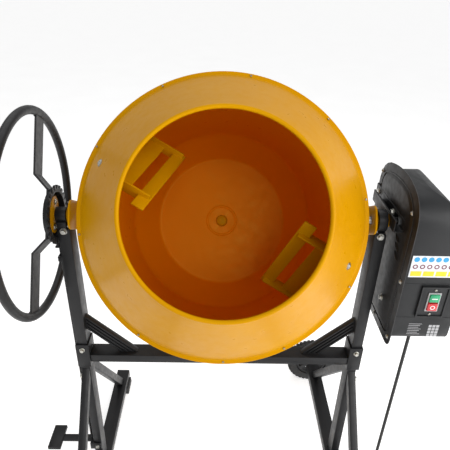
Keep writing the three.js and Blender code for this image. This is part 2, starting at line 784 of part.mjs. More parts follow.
// The two tangent lines and two arcs round both pulleys, grown by extra.
function beltLine(extra) {
  const big = { x: 0, y: 0, radius: BIG_PULLEY_RADIUS + extra };
  const small = { x: MOTOR_Y, y: MOTOR_Z, radius: SMALL_PULLEY_RADIUS + extra };
  const apart = Math.hypot(small.x, small.y);
  const toSmall = Math.atan2(small.y, small.x);
  const lean = Math.acos((big.radius - small.radius) / apart);
  const points = [];
  const arc = ({ x, y, radius }, from, to, steps) => {
    for (let i = 0; i <= steps; i += 1) {
      const angle = from + ((to - from) * i) / steps;
      points.push([x + radius * Math.cos(angle), y + radius * Math.sin(angle)]);
    }
  };
  arc(big, toSmall + lean, toSmall - lean + 2 * Math.PI, 20);
  arc(small, toSmall - lean, toSmall + lean, 8);
  return outline(points);
}

function belt() {
  const loop = withHole(beltLine(2.6), beltLine(0.5));
  return alongX(loop, PULLEY_X + 4, PULLEY_X + PULLEY_WIDE - 4);
}

function motorBody() {
  const barrel = disc(MOTOR_RADIUS, 24, MOTOR_Y, MOTOR_Z);
  return alongX(withHole(barrel, disc(9, 16, MOTOR_Y, MOTOR_Z)), 404, 472);
}

// The motor's shaft with its small pulley at one end and the cooling fan at the other.
function motorRotor() {
  const start = PULLEY_X - 4;
  const shaft = turnedAboutX([[0, start], [7, start], [7, 483], [0, 483], [0, start]], 20);
  const fan = turnedAboutX([[0, 476], [44, 476], [44, 480], [0, 480], [0, 476]], 20);
  const grooved = pulley(SMALL_PULLEY_RADIUS, PULLEY_X, 3, 20);
  return join(shaft, fan, grooved).translate(0, MOTOR_Y, MOTOR_Z);
}

function motorShelf() {
  const top = MOTOR_Z - MOTOR_RADIUS - GAP;
  const shelf = block(BOX_COVER_X, 480, MOTOR_Y - 50, MOTOR_Y + 50, top - 3, top);
  const upright = block(BOX_COVER_X, BOX_COVER_X + 3, MOTOR_Y - 50, MOTOR_Y + 50, top - 3, top + 60);
  const clear = alongX(disc(20, 16, MOTOR_Y, MOTOR_Z), BOX_COVER_X - 1, BOX_COVER_X + 5);
  return cut(join(shelf, upright), clear);
}

// ---- mains lead ----

const coverBottom = BOX_BOTTOM_Z + COVER_INSET;
const glandBottom = coverBottom - GLAND_LONG;

function cordGland() {
  const top = coverBottom - GAP;
  const bore = CORD_RADIUS + GAP;
  const profile = [
    [bore, glandBottom], [bore + 2, glandBottom], [bore + 4, top - 8], [11, top - 7], [11, top],
    [bore, top], [bore, glandBottom],
  ];
  return turnedAboutZ(profile, 16).translate(CORD_X, CORD_Y, 0);
}

// Straight down from the gland, round one easy bend and along the ground to the coil.
function cordTube() {
  const lying = GROUND_Z + CORD_RADIUS + GAP;
  const bendTop = new THREE.Vector3(CORD_X, CORD_Y, lying + CORD_BEND);
  const bendEnd = new THREE.Vector3(CORD_X, CORD_Y - CORD_BEND, lying);
  const top = new THREE.Vector3(CORD_X, CORD_Y, glandBottom - GAP);
  const middles = [];
  const straight = 20;
  for (let i = 0; i < straight; i += 1) {
    middles.push(top.clone().lerp(bendTop, i / straight));
  }
  for (let i = 0; i <= 8; i += 1) {
    const angle = (Math.PI / 2) * (i / 8);
    const y = CORD_Y - CORD_BEND + CORD_BEND * Math.cos(angle);
    middles.push(new THREE.Vector3(CORD_X, y, lying + CORD_BEND - CORD_BEND * Math.sin(angle)));
  }
  middles.push(new THREE.Vector3(CORD_X, CORD_END_Y, lying));
  const extrudePath = new THREE.CatmullRomCurve3(middles, false, "centripetal");
  const section = disc(CORD_RADIUS, 8);
  const steps = Math.round(bendTop.distanceTo(top) / 20 + bendEnd.distanceTo(bendTop) / 8);
  return new THREE.ExtrudeGeometry(section, { steps, bevelEnabled: false, extrudePath });
}

function cordCoil() {
  const { inner, outer, high } = COIL;
  const profile = [[inner, 0], [outer, 0], [outer, high], [inner, high], [inner, 0]];
  return turnedAboutZ(profile, 24).translate(COIL.x, COIL.y, GROUND_Z);
}

// A round mains plug that lies on the ground with its two pins level.
function plug() {
  const z = GROUND_Z + 20;
  const x = COIL.x - (COIL.inner + COIL.outer) / 2;
  const y0 = COIL.y + 38.4;
  const profile = [[0, 0], [6, 0], [7, 18], [15, 24], [20, 34], [20, 56], [0, 56]];
  const body = turned(profile, 20);
  const pin = [[0, 50], [2.4, 50], [2.4, 75], [0, 75]];
  const pins = [-9.5, 9.5].map((dx) => turned(pin, 8).translate(dx, 0, 0));
  return join(body, ...pins).translate(x, y0, z);
}

// ---- assembly ----

const finish = (color, roughness, metalness) => ({ color, roughness, metalness });
const YELLOW = finish(0xe3a008, 0.35, 0.1);
const BLACK = finish(0x2c2c2e, 0.5, 0.2);
const CAST_IRON = finish(0x4a4b4c, 0.6, 0.7);
const RUBBER = finish(0x1a1a1a, 0.85, 0);
const PLASTIC = finish(0x242526, 0.55, 0);
const GREEN = finish(0x1f9a45, 0.4, 0);
const RED = finish(0xc4201c, 0.4, 0);
const STEEL = finish(0x8d9093, 0.4, 0.8);

const machine = new THREE.Group();
const tilting = new THREE.Group();
tilting.rotation.x = -REST_TILT;
machine.add(tilting);

function piece(group, name, geometry, look) {
  const mesh = new THREE.Mesh(closed(geometry), new THREE.MeshStandardMaterial(look));
  mesh.geometry.computeVertexNormals();
  mesh.name = name;
  group.add(mesh);
}

const sides = { left: -1, right: 1 };
const ways = { front: -1, rear: 1 };

for (const [word, side] of Object.entries(sides)) {
  const top = -24 - GAP;
  piece(machine, `${word}_post`, upperPost(side, top), BLACK);
  piece(machine, `${word}_lower_leg`, lowerLeg(side), BLACK);
  piece(machine, `${word}_sleeve`, sleeve(side), BLACK);
  piece(machine, `${word}_gusset`, gusset(side), BLACK);
  piece(machine, `${word}_ground_beam`, groundBeam(side), BLACK);
  for (const [wayWord, way] of Object.entries(ways)) {
    piece(machine, `${word}_${wayWord}_brace`, brace(side, way), BLACK);
  }
}
piece(machine, "crossbar", crossbar(), BLACK);
piece(machine, "left_bearing", leftBearing(), BLACK);
piece(machine, "right_bearing", rightBearing(), BLACK);
piece(machine, "axle", axle(), STEEL);
for (const [word, way] of Object.entries(ways)) {
  piece(machine, `${word}_foot`, foot(way), RUBBER);
  piece(machine, `${word}_tyre`, tyre(way), RUBBER);
  piece(machine, `${word}_rim`, rim(way), BLACK);
}

piece(machine, "latch_rod", latchRod(), BLACK);
piece(machine, "latch_guide", latchGuide(-108, -POST_X - POST_WIDE / 2), BLACK);
piece(machine, "pedal", pedalLever(), BLACK);

piece(tilting, "left_yoke_arm", yokeArm(-1), YELLOW);
piece(tilting, "right_yoke_arm", yokeArm(1), YELLOW);
piece(tilting, "yoke_back", yokeBack(), YELLOW);
piece(tilting, "left_trunnion", leftTrunnion(), YELLOW);
piece(tilting, "right_trunnion", rightTrunnion(), YELLOW);
piece(tilting, "drum_bearing", drumBearing(), CAST_IRON);
piece(tilting, "lock_disc", notchedDisc(), BLACK);
piece(tilting, "handwheel", handwheel(), BLACK);

piece(tilting, "drum_front", drumFront(), YELLOW);
piece(tilting, "drum_bowl", drumBowl(), YELLOW);
piece(tilting, "drum_spindle", drumSpindle(), STEEL);
piece(tilting, "crown_gear", crownGear(), CAST_IRON);
piece(tilting, "blade_1", blade(0), YELLOW);
piece(tilting, "blade_2", blade(180), YELLOW);
piece(tilting, "pinion", pinion(), CAST_IRON);
piece(tilting, "pinion_shaft", pinionShaft(), STEEL);
piece(tilting, "large_pulley", pulley(BIG_PULLEY_RADIUS, PULLEY_X, SHAFT_RADIUS + GAP, 32), CAST_IRON);

piece(machine, "box_back_plate", boxBackPlate(), BLACK);
piece(machine, "box_cover", boxCover(), PLASTIC);
piece(machine, "hanger_bracket", hangerBracket(), BLACK);
piece(machine, "switch_plate", switchPlate(), PLASTIC);
piece(machine, "start_button", button(BUTTON.green), GREEN);
piece(machine, "stop_button", button(BUTTON.red), RED);
piece(machine, "switch_body", switchBody(), PLASTIC);
piece(machine, "drive_belt", belt(), RUBBER);
piece(machine, "motor_body", motorBody(), STEEL);
piece(machine, "motor_shelf", motorShelf(), BLACK);
piece(machine, "motor_rotor", motorRotor(), STEEL);
piece(machine, "cord_gland", cordGland(), RUBBER);
piece(machine, "cord", cordTube(), RUBBER);
piece(machine, "cord_coil", cordCoil(), RUBBER);
piece(machine, "plug", plug(), RUBBER);

// The origin goes under the middle of the machine, without its lead, on the ground.
const onLead = ["cord", "cord_coil", "plug"];
const bounds = new THREE.Box3();
machine.updateMatrixWorld(true);
machine.traverse((node) => {
  if (node.isMesh && !onLead.includes(node.name)) {
    bounds.expandByObject(node, true);
  }
});
const middle = bounds.getCenter(new THREE.Vector3());
machine.position.set(-middle.x, -middle.y, -bounds.min.z);

const mixer = new THREE.Group();
mixer.add(machine);

export default mixer;
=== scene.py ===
"""The concrete mixer's looks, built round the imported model. Metres, in the model's own frame."""

import json
import math

import bmesh
import bpy
from mathutils import Matrix, Vector


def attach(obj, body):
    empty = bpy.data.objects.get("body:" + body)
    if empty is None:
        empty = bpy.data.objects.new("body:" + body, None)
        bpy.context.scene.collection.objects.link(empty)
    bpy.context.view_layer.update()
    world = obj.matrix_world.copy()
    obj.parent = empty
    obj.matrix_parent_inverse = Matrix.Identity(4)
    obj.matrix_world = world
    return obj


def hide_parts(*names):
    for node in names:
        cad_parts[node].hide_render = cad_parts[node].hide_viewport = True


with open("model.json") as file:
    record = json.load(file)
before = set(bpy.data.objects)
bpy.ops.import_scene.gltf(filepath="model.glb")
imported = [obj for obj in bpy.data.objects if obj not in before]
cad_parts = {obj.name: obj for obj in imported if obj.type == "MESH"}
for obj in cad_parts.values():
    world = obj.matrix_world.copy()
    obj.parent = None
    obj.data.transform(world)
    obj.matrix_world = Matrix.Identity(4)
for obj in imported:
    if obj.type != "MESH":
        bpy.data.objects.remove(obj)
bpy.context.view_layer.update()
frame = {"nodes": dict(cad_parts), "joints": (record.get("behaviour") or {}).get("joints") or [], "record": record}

MM = 0.001
TILT = math.radians(30)  # how far the drum's mouth points up at rest
joints = {joint["name"]: joint for joint in frame["joints"]}
ORIGIN = Vector(joints["drum_tilt"]["pos_m"])  # the middle of the tilt axis
slots = {row["node"]: row["material_slot"] for row in frame["record"]["subparts"]}
body_of = {node: body for body, nodes in frame["record"]["behaviour"]["bodies"].items() for node in nodes}

# Drum frame: x to the right, a along the drum axis to the mouth, and the third axis across both, upwards.
AXIS = Vector((0, -math.cos(TILT), math.sin(TILT)))
ACROSS = Vector((0, math.sin(TILT), math.cos(TILT)))


def at(x, y, z):
    """A point given in millimetres from the middle of the tilt axis."""
    return ORIGIN + Vector((x, y, z)) * MM


def on_drum(x, a, up):
    """A point given in millimetres in the drum frame."""
    return ORIGIN + (Vector((x, 0, 0)) + AXIS * a + ACROSS * up) * MM


# ---- camera ----

# its place in millimetres from the middle of the tilt axis, its turns in degrees
CAMERA = {"place": (-15, -869.2, 466.6), "down": 29.11, "left": -1.25, "roll": 1.64, "lens": 38.28}


def make_camera():
    """The camera, above the mouth and looking down on it."""
    data = bpy.data.cameras.new("camera")
    data.lens = CAMERA["lens"]
    data.sensor_width = 36
    data.clip_start = 0.05
    data.clip_end = 60
    camera = bpy.data.objects.new("camera", data)
    camera.location = at(*CAMERA["place"])
    turn = Matrix.Rotation(math.radians(CAMERA["left"]), 4, "Z")
    look = turn @ Matrix.Rotation(math.radians(90 - CAMERA["down"]), 4, "X")
    camera.matrix_world = Matrix.Translation(camera.location) @ look @ Matrix.Rotation(
        math.radians(CAMERA["roll"]), 4, "Z"
    )
    bpy.context.scene.collection.objects.link(camera)
    bpy.context.scene.camera = camera


make_camera()

# ---- mains lead ----

CORD_RADIUS = 4  # this and the other lengths here are in millimetres
CORD_X, CORD_Y = 450, -4
CORD_TOP = -278.3  # under the gland
GROUND = -836
LYING = GROUND + 4.3  # height of the lead's middle where it lies on the ground
BEND = 45  # radius of its turn onto the ground
COIL_X, COIL_Y = 400, -112
COIL_RADII = (50.1, 41.9)  # outer and inner turns
COIL_LAYERS = (4.3, 12.4, 20.3)  # heights of the lead's middle over the ground
COIL_TURNS, TURN_STEPS, EASE_STEPS = 4.5, 18, 5
SPLITS = 4  # how many pieces the smooth line has between two of the route's points


def cord_route():
    """Down from the gland, along the ground and round the coil to the plug, in the model's frame."""
    points = [(CORD_X, CORD_Y, CORD_TOP)]
    for z in (-300, -340, -400, -460, -520, -580, -640, -700, -750):
        points.append((CORD_X, CORD_Y, z))
    for i in range(7):
        angle = math.pi / 2 * i / 6
        y = CORD_Y - BEND + BEND * math.cos(angle)
        points.append((CORD_X, y, LYING + BEND - BEND * math.sin(angle)))
    points.append((CORD_X + 2, CORD_Y - 75, LYING))
    turns = []
    for layer, height in enumerate(COIL_LAYERS):
        radii = COIL_RADII[::-1] if layer == 1 else COIL_RADII
        turns += [(height, radius) for radius in radii]
    for i in range(round(COIL_TURNS * TURN_STEPS) + 1):
        turn, step = divmod(i, TURN_STEPS)
        height, radius = turns[turn]
        late = step - (TURN_STEPS - EASE_STEPS)
        if late > 0:
            ease = late / EASE_STEPS
            ease = ease * ease * (3 - 2 * ease)
            next_height, next_radius = turns[turn + 1]
            height += (next_height - height) * ease
            radius += (next_radius - radius) * ease
        angle = -2 * math.pi * i / TURN_STEPS
        x = COIL_X + radius * math.cos(angle)
        points.append((x, COIL_Y + radius * math.sin(angle), GROUND + height))
    points.append((COIL_X - 46, COIL_Y + 22, GROUND + 20.2))
    points.append((COIL_X - 46, COIL_Y + 38.5, GROUND + 20))
    return [at(*point) for point in points]


def smooth_curve(name, points, radius):
    """One open round-section curve through the points.

    Each point holds the whole radius, since a point's own radius also swells the box of the curve.
    """
    data = bpy.data.curves.new(name, "CURVE")
    data.dimensions = "3D"
    data.bevel_depth = 1
    data.bevel_resolution = 5
    data.use_fill_caps = True
    spline = data.splines.new("POLY")
    fine = catmull(points, SPLITS)
    spline.points.add(len(fine) - 1)
    for item, point in zip(spline.points, fine):
        item.co = (*point, 1)
        item.radius = radius
    made = bpy.data.objects.new(name, data)
    bpy.context.scene.collection.objects.link(made)
    return made


def catmull(points, steps):
    """A smooth line through the points, centripetal so that it doesn't overshoot."""
    ends = [points[0] * 2 - points[1], *points, points[-1] * 2 - points[-2]]
    line = []
    for p0, p1, p2, p3 in zip(ends, ends[1:], ends[2:], ends[3:]):
        t1 = (p1 - p0).length ** 0.5
        t2 = t1 + (p2 - p1).length ** 0.5
        t3 = t2 + (p3 - p2).length ** 0.5
        for i in range(steps):
            t = t1 + (t2 - t1) * i / steps
            a1 = p0 * ((t1 - t) / t1) + p1 * (t / t1)
            a2 = p1 * ((t2 - t) / (t2 - t1)) + p2 * ((t - t1) / (t2 - t1))
            a3 = p2 * ((t3 - t) / (t3 - t2)) + p3 * ((t - t2) / (t3 - t2))
            b1 = a1 * ((t2 - t) / t2) + a2 * (t / t2)
            b2 = a2 * ((t3 - t) / (t3 - t1)) + a3 * ((t - t1) / (t3 - t1))
            line.append(b1 * ((t2 - t) / (t2 - t1)) + b2 * ((t - t1) / (t2 - t1)))
    line.append(points[-1])
    return line


route = cord_route()
cord = smooth_curve("mains_lead", route, CORD_RADIUS * MM)

# ---- node materials ----


class Nodes:
    """A short way to lay out a material's nodes."""

    def __init__(self, name):
        self.material = bpy.data.materials.new(name)
        self.material.use_nodes = True
        self.tree = self.material.node_tree
        self.tree.nodes.clear()
        self.shader = self.tree.nodes.new("ShaderNodeBsdfPrincipled")
        output = self.tree.nodes.new("ShaderNodeOutputMaterial")
        self.link(self.shader.outputs["BSDF"], output.inputs["Surface"])
        self.coordinates = self.tree.nodes.new("ShaderNodeTexCoord")
        self.place = self.coordinates.outputs["Object"]

    def link(self, source, target):
        self.tree.links.new(source, target)

    def set(self, **values):
        for key, value in values.items():
            self.shader.inputs[key.replace("_", " ")].default_value = value

    def noise(self, scale, detail, rough=0.5, stretch=None):
        node = self.tree.nodes.new("ShaderNodeTexNoise")
        node.inputs["Scale"].default_value = scale
        node.inputs["Detail"].default_value = detail
        node.inputs["Roughness"].default_value = rough
        source = self.place
        if stretch:
            mapping = self.tree.nodes.new("ShaderNodeMapping")
            mapping.inputs["Scale"].default_value = stretch
            self.link(source, mapping.inputs["Vector"])
            source = mapping.outputs["Vector"]
        self.link(source, node.inputs["Vector"])
        return node.outputs["Fac"]

    def towards(self, direction):
        """How far the surface faces along the direction, from -1 to 1."""
        node = self.tree.nodes.new("ShaderNodeVectorMath")
        node.operation = "DOT_PRODUCT"
        self.link(self.coordinates.outputs["Normal"], node.inputs[0])
        node.inputs[1].default_value = direction
        return node.outputs["Value"]

    def pointiness(self):
        return self.tree.nodes.new("ShaderNodeNewGeometry").outputs["Pointiness"]

    def range(self, source, low, high, to_low=0.0, to_high=1.0):
        node = self.tree.nodes.new("ShaderNodeMapRange")
        node.inputs["From Min"].default_value = low
        node.inputs["From Max"].default_value = high
        node.inputs["To Min"].default_value = to_low
        node.inputs["To Max"].default_value = to_high
        self.link(source, node.inputs["Value"])
        return node.outputs["Result"]

    def mix(self, share, first, second):
        node = self.tree.nodes.new("ShaderNodeMix")
        node.data_type = "RGBA"
        for value, key in ((first, 6), (second, 7)):
            if isinstance(value, bpy.types.NodeSocket):
                self.link(value, node.inputs[key])
            else:
                node.inputs[key].default_value = (*value, 1)
        self.link(share, node.inputs[0])
        return node.outputs[2]

    def bump(self, height, strength, distance, under=None):
        node = self.tree.nodes.new("ShaderNodeBump")
        node.inputs["Strength"].default_value = strength
        node.inputs["Distance"].default_value = distance
        self.link(height, node.inputs["Height"])
        if under:
            self.link(under, node.inputs["Normal"])
        return node.outputs["Normal"]

    def colour(self, source):
        self.link(source, self.shader.inputs["Base Color"])

    def roughness(self, source):
        self.link(source, self.shader.inputs["Roughness"])

    def normal(self, source):
        self.link(source, self.shader.inputs["Normal"])


def yellow_enamel(name, inside=None):
    """Sprayed enamel over pressed steel: slow colour drift, orange peel, a little dust and rubbed edges.

    Where a face looks towards the drum's mouth, it takes the colour inside if one is given: painted bounce light,
    the deeper orange that light takes bouncing round inside the drum, on the same paint.
    """
    base, rough = (0.58, 0.27, 0.0002), 0.33
    n = Nodes(name)
    drift = n.range(n.noise(5, 2), 0.3, 0.7)
    deep = tuple(c * k for c, k in zip(base, (0.9, 0.85, 0.7)))
    tone = n.mix(drift, deep, base)
    if inside:
        # painted bounce light: faces looking towards the mouth, the drum's inner faces, take the deeper orange of
        # light bouncing inside the drum
        tone = n.mix(n.range(n.towards(AXIS), 0.02, 0.1), tone, inside)
    dust = n.range(n.noise(28, 6, 0.65), 0.6, 0.85, 0, 0.1)
    tone = n.mix(dust, tone, (0.6, 0.36, 0.06))
    worn = n.range(n.pointiness(), 0.56, 0.68, 0, 0.4)
    n.colour(n.mix(worn, tone, (0.8, 0.48, 0.02)))
    n.roughness(n.range(n.noise(60, 4), 0.3, 0.75, rough - 0.06, rough + 0.12))
    peel = n.bump(n.noise(240, 2), 0.16, 0.0003)
    n.normal(n.bump(n.noise(18, 2), 0.14, 0.0012, peel))
    n.set(Specular_IOR_Level=0.2, Specular_Tint=(1, 0.8, 0.14, 1))
    return n.material


def powder_coat(name="black_paint", base=(0.009, 0.009, 0.0098), rough=0.38):
    """Satin black powder coat, with its fine texture, a little dust, and grey edges that are partly rubbed wear
    and partly a painted highlight.
    """
    n = Nodes(name)
    drift = n.range(n.noise(9, 3), 0.3, 0.7)
    tone = n.mix(drift, tuple(c * 0.75 for c in base), tuple(c * 1.3 for c in base))
    dust = n.range(n.noise(46, 6, 0.7), 0.6, 0.88, 0, 0.1)
    tone = n.mix(dust, tone, (0.09, 0.086, 0.08))
    # grey convex edges: partly rubbed wear, partly a painted highlight where the edges would catch the light
    worn = n.range(n.pointiness(), 0.56, 0.68, 0, 0.5)
    n.colour(n.mix(worn, tone, (0.07, 0.07, 0.072)))
    n.roughness(n.range(n.noise(80, 4), 0.3, 0.75, rough - 0.06, rough + 0.12))
    n.normal(n.bump(n.noise(900, 2), 0.35, 0.00025))
    n.set(Specular_IOR_Level=0.28)
    return n.material


def moulded_plastic(name="box_plastic", base=(0.013, 0.0135, 0.0145), rough=0.46, grain=1500):
    """Moulded plastic with a fine spark grain and faint handling marks."""
    n = Nodes(name)
    drift = n.range(n.noise(7, 3), 0.3, 0.7)
    tone = n.mix(drift, tuple(c * 0.85 for c in base), tuple(c * 1.2 for c in base))
    scuff = n.range(n.noise(26, 6, 0.72, stretch=(1, 1, 4)), 0.62, 0.85, 0, 0.18)
    n.colour(n.mix(scuff, tone, tuple(c * 2 + 0.02 for c in base)))
    n.roughness(n.range(n.noise(50, 4), 0.3, 0.75, rough - 0.07, rough + 0.1))
    n.normal(n.bump(n.noise(grain, 2), 0.4, 0.0002))
    n.set(Specular_IOR_Level=0.36)
    return n.material


def rubber(name, base=(0.018, 0.018, 0.018), rough=0.72):
    """Dull rubber with bloom and scuffs."""
    n = Nodes(name)
    drift = n.range(n.noise(14, 5, 0.6), 0.3, 0.7)
    tone = n.mix(drift, tuple(c * 0.7 for c in base), tuple(c * 1.6 for c in base))
    bloom = n.range(n.noise(60, 6, 0.7), 0.6, 0.85, 0, 0.3)
    n.colour(n.mix(bloom, tone, (0.075, 0.072, 0.066)))
    n.roughness(n.range(n.noise(90, 4), 0.3, 0.75, rough - 0.1, rough + 0.1))
    n.normal(n.bump(n.noise(700, 3), 0.4, 0.0003))
    return n.material


def bare_metal(name, base=(0.52, 0.52, 0.52), rough=0.32, scale=180, metallic=1.0, grime=0.3):
    """Turned, plated or cast metal: streaks, slight grime and rubbed edges."""
    n = Nodes(name)
    streak = n.range(n.noise(scale, 4, 0.6, stretch=(1, 0.25, 1)), 0.3, 0.7)
    tone = n.mix(streak, tuple(c * 0.72 for c in base), base)
    dirt = n.range(n.noise(30, 6, 0.7), 0.52, 0.8, 0, grime)
    tone = n.mix(dirt, tone, tuple(c * 0.35 for c in base))
    worn = n.range(n.pointiness(), 0.54, 0.64, 0, 0.6)
    n.colour(n.mix(worn, tone, tuple(min(1, c * 1.3) for c in base)))
    n.roughness(n.range(n.noise(120, 4), 0.3, 0.75, rough - 0.08, rough + 0.16))
    n.normal(n.bump(n.noise(scale * 3, 3), 0.25, 0.0003))
    n.set(Metallic=metallic)
    return n.material


def glossy_plastic(name, base):
    """A gloss push button."""
    n = Nodes(name)
    drift = n.range(n.noise(90, 3), 0.3, 0.7)
    n.colour(n.mix(drift, tuple(c * 0.8 for c in base), base))
    n.roughness(n.range(n.noise(300, 3), 0.3, 0.75, 0.2, 0.34))
    n.normal(n.bump(n.noise(800, 2), 0.15, 0.0002))
    n.set(Coat_Weight=0.2, Coat_Roughness=0.1)
    return n.material


LOOKS = {
    "yellow_paint": yellow_enamel("yellow_paint"),
    "black_paint": powder_coat(),
    "box_plastic": moulded_plastic(),
    "rim_plastic": moulded_plastic("rim_plastic", (0.03, 0.03, 0.031), 0.5, 1100),
    "tyre_rubber": rubber("tyre_rubber"),
    "foot_rubber": rubber("foot_rubber", (0.022, 0.022, 0.022)),
    "cord_rubber": rubber("cord_rubber", (0.014, 0.014, 0.014), 0.6),
    "belt_rubber": rubber("belt_rubber", (0.02, 0.02, 0.021), 0.65),
    "green_button": glossy_plastic("green_button", (0.012, 0.34, 0.14)),
    "red_button": glossy_plastic("red_button", (0.62, 0.03, 0.035)),
    "cast_iron": bare_metal("cast_iron", (0.13, 0.13, 0.135), 0.5, 90, 0.85, 0.5),
    "machined_steel": bare_metal("machined_steel"),
    "motor_paint": powder_coat("motor_paint", (0.13, 0.14, 0.15), 0.45),
}
# The bowl's yellow paint, with the deeper orange of bounce light inside the drum painted on its inner faces.
BOWL_PAINTED_BOUNCE = yellow_enamel("bowl_enamel_painted_bounce", (0.8, 0.225, 0.0001))
ZINC = bare_metal("zinc_plate", (0.46, 0.45, 0.41), 0.3, 320, 1.0, 0.4)


def printed(name, base):
    """A printed foil label, a little uneven and scuffed."""
    n = Nodes(name)
    drift = n.range(n.noise(60, 3), 0.3, 0.7)
    tone = n.mix(drift, tuple(c * 0.9 for c in base), base)
    scuff = n.range(n.noise(180, 5, 0.7), 0.62, 0.85, 0, 0.25)
    n.colour(n.mix(scuff, tone, tuple(c * 0.6 + 0.05 for c in base)))
    n.roughness(n.range(n.noise(90, 3), 0.3, 0.75, 0.32, 0.48))
    n.normal(n.bump(n.noise(400, 2), 0.12, 0.0002))
    return n.material


FOIL = printed("foil", (0.72, 0.74, 0.76))
BLUE_PRINT = printed("blue_print", (0.03, 0.32, 0.62))
RED_PRINT = printed("red_print", (0.16, 0.02, 0.05))
YELLOW_PRINT = printed("yellow_print", (0.72, 0.62, 0.02))
GREY_PRINT = printed("grey_print", (0.42, 0.42, 0.43))
WHITE_INLAY = printed("white_inlay", (0.75, 0.75, 0.74))

# ---- meshes ----


def piece(name, bm, body, slot=None, look=None, stands_for=(), smooth=40):
    """A finished mesh from a bmesh: its shading, its material (the slot's look, unless a look is given), body and
    the CAD nodes it stands for.

    Faces that meet at more than smooth degrees keep a sharp edge between them.
    """
    bmesh.ops.recalc_face_normals(bm, faces=bm.faces)
    data = bpy.data.meshes.new(name)
    bm.to_mesh(data)
    bm.free()
    for polygon in data.polygons:
        polygon.use_smooth = True
    data.set_sharp_from_angle(angle=math.radians(smooth))
    made = bpy.data.objects.new(name, data)
    bpy.context.scene.collection.objects.link(made)
    made.data.materials.append(look or LOOKS[slot])
    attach(made, body)
    if stands_for:
        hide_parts(*stands_for)
    return made


SAME_PLACE = 2e-6  # metres between vertices that are one
SAME_PLANE, SHARP_EDGE = math.radians(0.5), math.radians(25)


def refined(node, bevel, segments, slot=None):
    """A copy of a CAD node with its faces merged and its edges rounded, which stands for the node."""
    bm = bmesh.new()
    bm.from_mesh(frame["nodes"][node].data)
    bmesh.ops.remove_doubles(bm, verts=bm.verts, dist=SAME_PLACE)
    bmesh.ops.dissolve_limit(bm, angle_limit=SAME_PLANE, verts=bm.verts, edges=bm.edges)
    joined = [edge for edge in bm.edges if len(edge.link_faces) == 2]
    sharp = [edge for edge in joined if edge.calc_face_angle(0) > SHARP_EDGE]
    if sharp:
        bmesh.ops.bevel(
            bm, geom=sharp, offset=bevel * MM, segments=segments, profile=0.5, affect="EDGES",
            clamp_overlap=True,
        )
    return piece(node + "_shown", bm, body_of[node], slot or slots[node], None, [node], 34)


# ---- stage ----

FLOOR_HALF, FLOOR_Z = 40, -0.0005  # the floor lies a hair under the ground, so that nothing shares its plane


def make_stage():
    """A plain pale floor, an even sky and three soft lights."""
    floor_mesh = bpy.data.meshes.new("floor")
    corners = [(x * FLOOR_HALF, y * FLOOR_HALF, FLOOR_Z) for x, y in ((-1, -1), (1, -1), (1, 1), (-1, 1))]
    floor_mesh.from_pydata(corners, [], [(0, 1, 2, 3)])
    floor = bpy.data.objects.new("floor", floor_mesh)
    bpy.context.scene.collection.objects.link(floor)
    n = Nodes("floor_paint")
    n.colour(n.mix(n.range(n.noise(3, 3), 0.3, 0.7), (0.88, 0.88, 0.88), (0.92, 0.92, 0.92)))
    n.set(Roughness=0.9, Specular_IOR_Level=0.1, Emission_Color=(1, 1, 1, 1), Emission_Strength=0.5)
    floor.data.materials.append(n.material)

    world = bpy.data.worlds.new("studio")
    bpy.context.scene.world = world
    world.use_nodes = True
    background = world.node_tree.nodes["Background"]
    background.inputs["Color"].default_value = (1, 1, 1, 1)
    background.inputs["Strength"].default_value = 0.5

    def area(name, place, target, size, power):
        light = bpy.data.lights.new(name, "AREA")
        light.shape = "RECTANGLE"
        light.size, light.size_y = size
        light.energy = power
        lamp = bpy.data.objects.new(name, light)
        lamp.location = at(*place)
        direction = at(*target) - lamp.location
        lamp.rotation_euler = direction.to_track_quat("-Z", "Y").to_euler()
        bpy.context.scene.collection.objects.link(lamp)

    area("key", (1800, -1100, 500), (0, 0, -50), (1.5, 1.5), 34)
    area("front", (500, -2300, 1300), (0, 0, 0), (1.3, 1.1), 18)
    area("top", (-100, 900, 1900), (0, 0, 0), (2.6, 1.8), 18)
    bpy.context.scene.view_settings.view_transform = "Standard"


make_stage()

# ---- solids of revolution ----

DRUM_STEPS = 144  # sides round the drum's axis


def rounded(profile, radii):
    """The profile with each corner replaced by a short arc of about the given radius."""
    points = [Vector(p) for p in profile]
    made = []
    count = len(points)
    for i, corner in enumerate(points):
        radius = radii.get(i, 0)
        before, after = points[i - 1], points[(i + 1) % count]
        if not radius:
            made.append(corner)
            continue
        back = (before - corner).normalized()
        ahead = (after - corner).normalized()
        reach = min(radius, (before - corner).length * 0.45, (after - corner).length * 0.45)
        start, end = corner + back * reach, corner + ahead * reach
        for k in range(6):
            t = k / 5
            made.append(start * (1 - t) ** 2 + corner * 2 * t * (1 - t) + end * t * t)
    return made


def spin_into(bm, profile, steps, place):
    """Adds a solid of revolution.

    The profile's points are (radius, height), and place(x, height, z) gives the point in the model's frame.
    A profile whose ends are off the axis is closed to a ring.
    """
    rings = []
    for radius, height in profile:
        if radius < 1e-6:
            rings.append([bm.verts.new(place(0, height, 0))])
            continue
        ring = []
        for i in range(steps):
            angle = 2 * math.pi * i / steps
            ring.append(bm.verts.new(place(radius * math.cos(angle), height, radius * math.sin(angle))))
        rings.append(ring)
    pairs = list(zip(rings, rings[1:]))
    if len(rings[0]) > 1 and len(rings[-1]) > 1:
        pairs.append((rings[-1], rings[0]))
    for low, high in pairs:
        for i in range(steps):
            k = (i + 1) % steps
            corners = [low[i % len(low)], low[k % len(low)], high[k % len(high)], high[i % len(high)]]
            corners = list(dict.fromkeys(corners))
            if len(corners) > 2:
                bm.faces.new(corners)


def spun(profile, steps, place):
    """A new bmesh with a solid of revolution."""
    bm = bmesh.new()
    spin_into(bm, profile, steps, place)
    return bm


# ---- small shapes ----

ROUND_STEPS = 32  # sides of a small round thing
BLOCK_FACES = ((0, 1, 3, 2), (4, 6, 7, 5), (0, 4, 5, 1), (2, 3, 7, 6), (0, 2, 6, 4), (1, 5, 7, 3))


